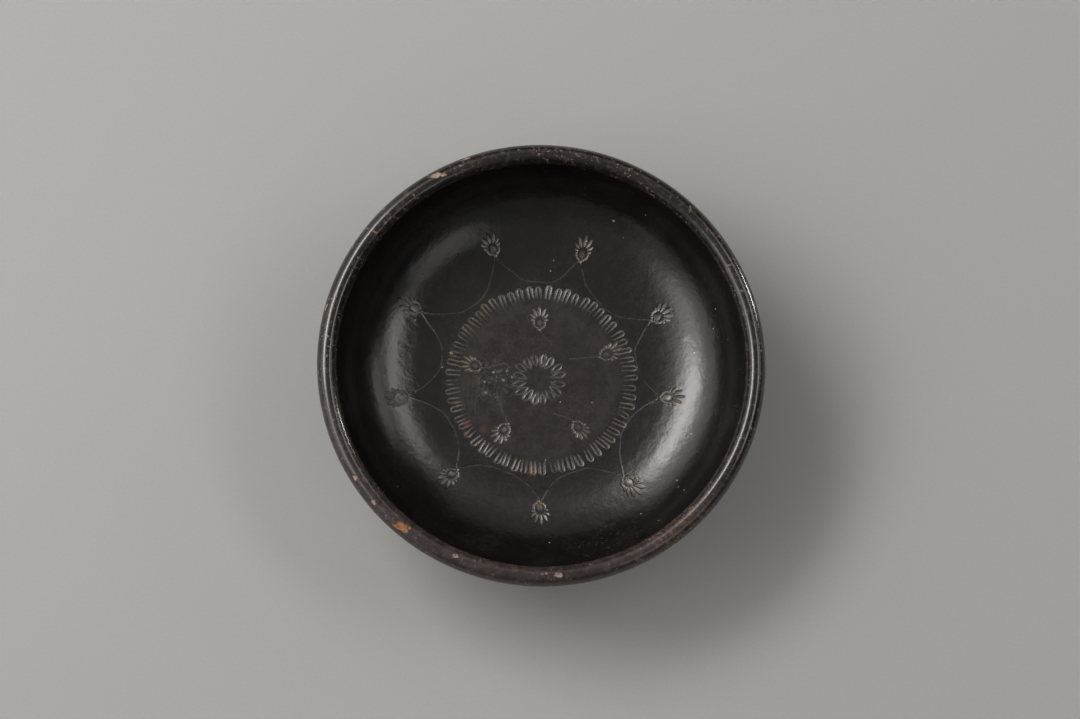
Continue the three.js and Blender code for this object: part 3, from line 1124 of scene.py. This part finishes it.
x, y, height = shade.split(place)
from_axis = shade.maths("LENGTH", shade.join(x, y, 0.0)).output("Value")
along, pressed, scored, chipped = [stored(name) for name in ("along", "pressed", "scored", "chipped")]
cloud = noise(28.0, 2.0, 1.0)
blotch = noise(5.0, 3.0, 2.0)
mottle = noise(1.3, 3.0, 3.0)
grain = noise(0.35, 1.0, 4.0)
wear = noise(2.4, 3.0, 5.0)


# %% Masks
def mix(colour, other, share):
    """One colour laid over another by a share from 0 to 1."""
    return shade.node("ShaderNodeMix", {"data_type": "RGBA", "clamp_factor": True}, {
        "Factor_Float": share, "A_Color": colour, "B_Color": other}, "Result_Color")


def at(distance, direction):
    """A place on the inside of the bowl as a point."""
    x, y = polar(distance, direction)
    return (float(x), float(y), float(inner_height(distance)))


def patch(centre, radius, soft, ragged=0.0):
    """1 within a patch round a place, and 0 outside. Ragged is how far its edge strays, in millimetres."""
    away = shade.maths("DISTANCE", place, centre).output("Value")
    if ragged:
        away = away + (mottle - 0.5) * (4 * ragged)
    return 1 - shade.step(away, radius - soft, radius + soft)


def patches(places, soft, ragged=0.0):
    """Several patches, each given as a distance, a direction and a radius."""
    together = 0.0
    for distance, direction, radius in places:
        together = together + patch(at(distance, direction), radius, soft, ragged)
    return together


def spots(size, spacing, share, seed):
    """Round spots up to a size in millimetres, on a share of the places of a loose lattice."""
    cell = shade.node("ShaderNodeTexVoronoi", inputs={
        "Vector": elsewhere(seed), "Scale": 1 / spacing}, output="Distance")
    chosen, _, _ = shade.split(cell.output("Color"))
    near = 1 - shade.step(cell * spacing, size * 0.6, size)
    return near * (chosen > 1 - share)


def band(value, begins, ends, soft):
    """1 where a value is between two limits, with soft ends."""
    begun = shade.step(value, begins - soft, begins + soft)
    ended = shade.step(value, ends - soft, ends + soft)
    return begun * (1 - ended)


crest = band(along, LIP_BEGINS + 0.5, LIP_ENDS - 5.0, 1.5)
outside = shade.step(along, LIP_ENDS - 2.0, LIP_ENDS + 2.0)


# %% The skin, its film with a painted sheen on the lip, and darker patches round the ring of tongues
def thin_gloss():
    """Where the gloss is thin and lets the clay's brown through."""
    return 0.15 * shade.step(cloud, 0.45, 0.66) + 0.1 * shade.step(mottle, 0.5, 0.7)


def film_and_lip_sheen():
    """Dirt laid thinly over the bowl, thickest inside the ring of tongues; the extra on the lower, near
    side of the lip is a painted sheen.
    """
    inside = 1 - shade.step(from_axis, 30.0, 38.0)
    # the lower, near side of the lip, where the extra film is a painted sheen
    near_lip_sheen = 1 - shade.step(y, -70.0, -10.0)
    amount = 0.025 + 0.14 * inside + 0.05 * outside + crest * (0.06 + 0.24 * near_lip_sheen)
    smears = 0.05 * shade.step(cloud, 0.42, 0.62) * shade.step(mottle, 0.42, 0.66)
    return amount * (0.4 + 0.7 * shade.step(blotch, 0.3, 0.7) + 0.5 * mottle) + smears


def dark_patches_by_ring():
    """Darker olive-brown patches along the ring of tongues, and in and beside the rosette."""
    places = band(from_axis, 26.0, 41.0, 4.0) + patches([(21.0, 205, 9.0), (0.0, 0, 4.0)], 4.0)
    return places * shade.step(blotch, 0.2, 0.8)


def misfired():
    """Small red patches at the left of the ring, where the fire reached the skin."""
    return patches([(34.7, 207, 1.2), (30.7, 233, 1.3), (34.4, 223, 1.1), (37.0, 228, 1.1)], 1.1, 1.0)


def rust():
    """A rusty stain on the near side of the ring."""
    return patch(at(38.0, 277), 2.2, 1.6, 1.2) * shade.step(mottle, 0.4, 0.6)


# %% Dust in the marks
patchy = shade.step(noise(3.0, 2.0, 6.0), 0.34, 0.6)


def stamp_dust():
    """Grey dust in the stamps, rubbed out here and there."""
    rosette = 1 - shade.step(from_axis, 12.0, 14.0)
    return shade.step(pressed, 0.03, 0.17) * (0.22 + 0.32 * patchy) * (1 - 0.5 * rosette)


def line_dust():
    """A little of the same dust in the drawn lines."""
    return shade.step(scored, 0.02, 0.12) * (0.08 + 0.2 * patchy)


# %% Wear along the lip
def rubbed_lip():
    """Brown speckles where hands and shelves have rubbed the lip."""
    return crest * shade.step(wear, 0.5, 0.68)


def rubbed_corner():
    """The lower right of the lip, rubbed harder than the rest."""
    near = patch((62.2, -58.0, RIM_TOP - 3), 18.0, 8.0, 3.0)
    return near * crest * shade.step(mottle, 0.42, 0.6)


def lip_nicks():
    """Pale nicks along the lip, no larger than a pinhead, more of them where it was knocked about."""
    ragged = shade.step(mottle, 0.6, 0.65) * shade.step(blotch, 0.5, 0.58)
    return crest * (spots(0.6, 6.0, 0.3, 7.0) + ragged)


def bare_clay():
    """Clay in the chips, with scraps of gloss left on it."""
    return shade.step(chipped, 0.02, 0.1) * shade.step(mottle, 0.32, 0.38)


# %% Wear inside the bowl
def rough_wall():
    """The lower right of the wall, where the ground has eaten small pits in the gloss."""
    return patch(at(75.0, 303), 12.0, 8.0, 4.0) * shade.step(mottle + 0.4 * blotch, 0.8, 0.86)


def specks():
    """Pale specks, a few by place and more at random."""
    placed = [(70.8, 75.3, 0.45), (45.3, 94.5, 0.3), (70.1, 333.0, 0.35), (72.3, 331.4, 0.3),
              (64.0, 20.0, 0.3), (66.0, 350.0, 0.3)]
    return spots(0.36, 7.0, 0.4, 8.0) + patches(placed, 0.2, 0.2)


def holes():
    """Pinholes, where a bubble burst in the kiln."""
    return spots(0.55, 5.0, 0.3, 9.0)


def floor_nicks():
    """Knocks in the floor beside the rosette, and crumbs of lime between them."""
    knocks = patches([(14.2, 192.4, 0.5), (22.2, 205.6, 0.55), (13.3, 175.8, 0.4), (22.0, 193.5, 0.4),
                      (10.7, 186.3, 0.35), (18.5, 181.8, 0.35), (37.1, 174.0, 0.5)], 0.3, 0.35)
    return knocks + patch(at(18.0, 194), 7.5, 3.5, 1.5) * shade.step(mottle + grain, 1.13, 1.22)


def scratches():
    """Hair scratches below the knocks, that run across the bowl."""
    turn = math.radians(100)
    ahead = shade.maths("DOT_PRODUCT", place, (math.cos(turn), math.sin(turn), 0.0)).output("Value")
    aside = shade.maths("DOT_PRODUCT", place, (-math.sin(turn), math.cos(turn), 0.0)).output("Value")
    wave = shade.node("ShaderNodeTexNoise", inputs={
        "Vector": shade.join(ahead * 0.04, aside * 0.9, 0.0), "Scale": 1.0, "Detail": 1.0}, output="Fac")
    near = 1 - shade.step(shade.maths("ABSOLUTE", wave - 0.5), 0.008, 0.03)
    return near * patch(at(26.0, 212), 9.0, 4.0, 2.0)


# %% Wear under the bowl
FINGERS = (70, 88, 105, 268)  # directions of three fingers and a thumb


def worn_foot():
    """The edge that the bowl stands on, worn to the clay."""
    return (1 - shade.step(height, 0.15, 0.6)) * shade.step(mottle, 0.3, 0.45)


def finger_marks():
    """Thin, brown marks round the foot, where fingers held the bowl when it was dipped."""
    together = 0.0
    for direction in FINGERS:
        x, y = polar(FOOT_OUTER + 2, direction)
        together = together + patch((float(x), float(y), 7.0), 6.0, 3.5, 2.0)
    return outside * together


# %% Laying the layers
nicked = floor_nicks()
bare = bare_clay()
dust_colour = mix(DUST, WARM_DUST, shade.step(cloud, 0.5, 0.6))
clay_colour = mix(CLAY_PINK, CLAY_ORANGE, patch((-42.4, -76.5, RIM_TOP - 1), 7.0, 1.0))
clay_colour = mix(clay_colour, RED_BROWN, 0.7 * shade.step(wear, 0.5, 0.64))
layers = [
    # colour, share, and how much rougher than the gloss it is
    (GLOSS_BROWN, thin_gloss(), 0.0),
    # dirt film, with a painted sheen on the lower, near side of the lip
    (FILM_AND_SHEEN, film_and_lip_sheen(), 0.1),
    # darker olive-brown patches by the ring of tongues and the rosette
    (DARK_OLIVE, 0.4 * dark_patches_by_ring(), 0.1),
    (MISFIRED, 0.4 * misfired(), 0.1),
    (CLAY_ORANGE, 0.35 * rust(), 0.1),
    (RED_BROWN, 0.45 * finger_marks(), 0.1),
    (dust_colour, stamp_dust(), 0.25),
    (dust_colour, line_dust(), 0.2),
    (WORN_BROWN, 0.3 * rubbed_lip(), 0.05),
    (RED_BROWN, 0.6 * rubbed_corner(), 0.15),
    (CLAY_PINK, 0.6 * lip_nicks(), 0.3),
    (FILM_AND_SHEEN, 0.3 * rough_wall(), 0.35),
    (PALE_SPECK, 0.55 * specks(), 0.2),
    (GLOSS_BLACK, holes(), 0.1),
    (DUST, 0.75 * nicked, 0.2),
    (DUST, 0.11 * scratches(), 0.0),
    (CLAY_PINK, 0.8 * worn_foot(), 0.4),
    (clay_colour, bare, 0.45),
]
skin = GLOSS_BLACK
rough = 0.16 + 0.06 * blotch + 0.08 * mottle + 0.03 * grain - 0.05 * crest
for colour, share, rougher in layers:
    skin = mix(skin, colour, share)
    if rougher:
        rough = rough + rougher * share
print(f"{len(layers)} layers over the gloss")

# %% Small relief, and the shader
def turning():
    """Rings left by the potter's scraper, which change across the section and not round the bowl."""
    return shade.node("ShaderNodeTexNoise", inputs={
        "Vector": shade.join(along, 0.0, 0.0), "Scale": 0.9, "Detail": 2.0}, output="Fac")


relief = (grain * 0.005 + mottle * 0.028 + blotch * 0.16) * (1 - 0.8 * crest)
relief = relief + bare * mottle * 0.4 + nicked * 0.12 + outside * turning() * 0.05
bump = shade.node("ShaderNodeBump", inputs={"Strength": 1.0, "Distance": MM, "Height": relief})
shader = shade.node("ShaderNodeBsdfPrincipled", inputs={
    "Base Color": skin, "Roughness": rough, "Normal": bump, "IOR": 1.5})
shade.node("ShaderNodeOutputMaterial", inputs={"Surface": shader})
print(f"the gloss has {len(gloss.node_tree.nodes)} nodes")

# %% Placing the bowl
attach(bowl, "root")
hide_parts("bowl")

# %% [markdown]
# ## Camera
#
# A long lens two metres away looks almost straight down. The picture's own scale, in pixels to the
# millimetre at the lip, gives the lens, and the lip's middle in the picture gives the camera's place.

# %% The camera
IMAGE_WIDTH = 1080
IMAGE_HEIGHT = 719
SENSOR_WIDTH = 36.0
PIXELS_PER_MM = 2.498
LIP_IN_IMAGE = (541.7, 363.6)
VIEW_DISTANCE = 2000.0
TILT = math.radians(10.8)  # of the line of sight from straight down
ROLL = math.radians(10.8)  # of the camera about its line of sight

toward_camera = Vector((0, -math.sin(TILT), math.cos(TILT)))
level = Vector((1, 0, 0))
climb = Vector((0, math.cos(TILT), math.sin(TILT)))
right = math.cos(ROLL) * level + math.sin(ROLL) * climb
up = -math.sin(ROLL) * level + math.cos(ROLL) * climb
target = Vector((0, 0, RIM_TOP - 4)) * MM

camera_data = bpy.data.cameras.new("camera")
camera_data.sensor_width = SENSOR_WIDTH
camera_data.lens = SENSOR_WIDTH * PIXELS_PER_MM * VIEW_DISTANCE / IMAGE_WIDTH
camera_data.clip_end = 20
camera = bpy.data.objects.new("camera", camera_data)
bpy.context.scene.collection.objects.link(camera)
bpy.context.scene.camera = camera
off_right = (IMAGE_WIDTH / 2 - LIP_IN_IMAGE[0]) / PIXELS_PER_MM * MM
off_up = (LIP_IN_IMAGE[1] - IMAGE_HEIGHT / 2) / PIXELS_PER_MM * MM
spot = target + toward_camera * VIEW_DISTANCE * MM + right * off_right + up * off_up
camera.matrix_world = Matrix.Translation(spot) @ Matrix((right, up, toward_camera)).transposed().to_4x4()
print(f"lens {camera_data.lens:.1f} mm")

# %% [markdown]
# ## Light
#
# A glossy black thing shows little but its lights, so the lights come from the reflections. The bowl
# curves, and each bright band on it says in which direction a lamp stands and how wide it is. A hollow
# shows a lamp on its far side. So a tall, slanting soft box to the left of the camera gives the broad band
# on the right wall, and a weaker one to the right gives the band on the left wall. Large, dim ones round
# them make the soft halos on the wall and the grey of the floor. A small, strong one far to the right,
# beside the bowl, draws the line on the lip. Each is given by the direction in which it is seen from the
# bowl, so it can be moved without thinking in metres.

# %% Soft lights placed by direction
LIGHT_DISTANCE = 1.6  # in metres
LIGHT_COLOUR = (1.0, 0.985, 0.96)


def soft_light(name, across, above, width, height, turn, strength, distance=LIGHT_DISTANCE):
    """A rectangle whose width and height are the degrees that it spans as the bowl sees it.

    Across and above say in degrees how far it is to the right of the line of sight and above it, and
    turn leans its top to the left. Strength is how bright it looks, whatever its size.
    """
    a, b = math.radians(across), math.radians(above)
    way = math.cos(a) * math.cos(b) * toward_camera + math.sin(a) * math.cos(b) * right + math.sin(b) * up
    data = bpy.data.lights.new(name, "AREA")
    data.shape = "RECTANGLE"
    data.size = 2 * distance * math.tan(math.radians(width / 2))
    data.size_y = 2 * distance * math.tan(math.radians(height / 2))
    data.energy = strength * math.pi * data.size * data.size_y
    data.color = LIGHT_COLOUR
    lamp = bpy.data.objects.new(name, data)
    bpy.context.scene.collection.objects.link(lamp)
    top = (up - up.dot(way) * way).normalized()
    side = top.cross(way)
    turned_side = math.cos(math.radians(turn)) * side + math.sin(math.radians(turn)) * top
    turned_top = way.cross(turned_side)
    axes = Matrix((turned_side, turned_top, way)).transposed().to_4x4()
    lamp.matrix_world = Matrix.Translation(target + way * distance) @ axes


# name, across, above, width, height, turn, strength
soft_light("key", -41, 28, 16, 36, -25, 13.0)
soft_light("key_low", -47, -2, 18, 22, 0, 2.4)
soft_light("key_edge", -52, 18, 56, 78, -16, 1.0, distance=1.8)
soft_light("left_wash", -84, 4, 72, 112, 0, 0.55, distance=2.2)
soft_light("fill", 42, 18, 12, 40, 20, 5.2)
soft_light("fill_low", 38, -22, 22, 26, -40, 1.3)
soft_light("strip", 63, 22, 5, 26, 20, 4.4)
soft_light("top", -5, 56, 60, 38, 0, 0.36)
soft_light("below", 0, -52, 80, 34, 0, 0.18, distance=2.2)
soft_light("back", 96, 27, 5, 8, 0, 62.0)
soft_light("overhead", -14, 8, 74, 90, 0, 0.3, distance=3.2)

# %% The room round them
ROOM_GREY = (0.015, 0.015, 0.0155, 1)
world = bpy.data.worlds.new("studio")
world.use_nodes = True
world.node_tree.nodes["Background"].inputs["Color"].default_value = ROOM_GREY
bpy.context.scene.world = world
bpy.context.scene.view_settings.view_transform = "Standard"

# %% [markdown]
# ## Floor
#
# A plain pale surface, with just enough tooth to look like painted board. The board is staging, so it
# is no part of the bowl.

# %% The floor
FLOOR_HALF = 1.5  # in metres
BOARD_DARK, BOARD_PALE = (0.27, 0.266, 0.26), (0.30, 0.296, 0.29)
TOOTH_SCALE = 900.0
floor_corners = [(x * FLOOR_HALF, y * FLOOR_HALF, 0) for x, y in [(-1, -1), (1, -1), (1, 1), (-1, 1)]]
floor_mesh = bpy.data.meshes.new("floor")
floor_mesh.from_pydata(floor_corners, [], [(0, 1, 2, 3)])
floor = bpy.data.objects.new("floor", floor_mesh)
bpy.context.scene.collection.objects.link(floor)
board = bpy.data.materials.new("pale_board")
board.use_nodes = True
board.node_tree.nodes.clear()
floor_tree = Tree(board.node_tree)
floor_place = floor_tree.node("ShaderNodeTexCoord", output="Object")
tooth = floor_tree.node("ShaderNodeTexNoise", inputs={
    "Vector": floor_place, "Scale": TOOTH_SCALE, "Detail": 2.0})
tone = floor_tree.node("ShaderNodeMix", {"data_type": "RGBA"}, {
    "Factor_Float": tooth, "A_Color": BOARD_DARK, "B_Color": BOARD_PALE}, "Result_Color")
paint = floor_tree.node("ShaderNodeBsdfPrincipled", inputs={"Base Color": tone, "Roughness": 0.8})
floor_tree.node("ShaderNodeOutputMaterial", inputs={"Surface": paint})
floor.data.materials.append(board)
